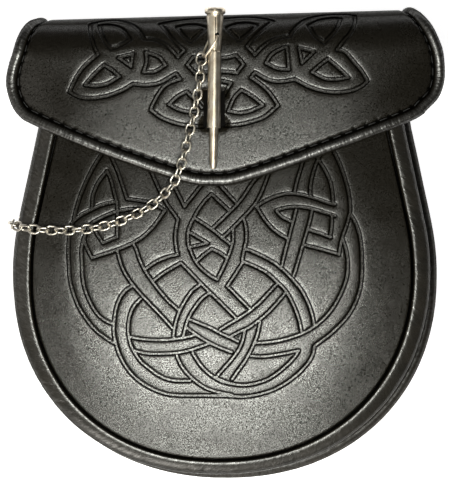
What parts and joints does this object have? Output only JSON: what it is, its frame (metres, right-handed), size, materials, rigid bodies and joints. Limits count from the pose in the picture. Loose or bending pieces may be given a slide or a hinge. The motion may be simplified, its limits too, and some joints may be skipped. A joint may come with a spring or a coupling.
{
  "type": "leather sporran pouch",
  "caption": "Rounded leather sporran pouch on its back, with a bound V-shaped flap closed by a steel peg in a tube, and a chain from the peg to the pouch's side.",
  "frame": {"origin": "middle of the underside of the whole pouch, on the plane that it rests on when it lies on its back", "axes": "+X to the right of the front, +Y up the front towards the fold, +Z out of the front"},
  "size_m": [0.1896, 0.2043, 0.0471],
  "materials": {
    "black_leather": "smooth black leather, semi-gloss, with tooled knotwork",
    "binding_leather": "thin black leather drawn over a roll, glossy, with fine cross wrinkles",
    "soft_leather": "soft black leather, padded and wrinkled",
    "nickel_steel": "turned and polished, warm grey",
    "bright_steel": "bright round wire"
  },
  "bodies": {
    "root": {"back_flap": "black_leather", "flap_binding": "binding_leather", "back_binding": "binding_leather", "front_panel": "black_leather", "gusset": "soft_leather", "belt_loop_left": "black_leather", "belt_loop_right": "black_leather", "receiver_tube": "nickel_steel", "peg": "nickel_steel", "peg_ring": "bright_steel", "chain": "bright_steel", "chain_anchor": "bright_steel"}
  },
  "joints": []
}
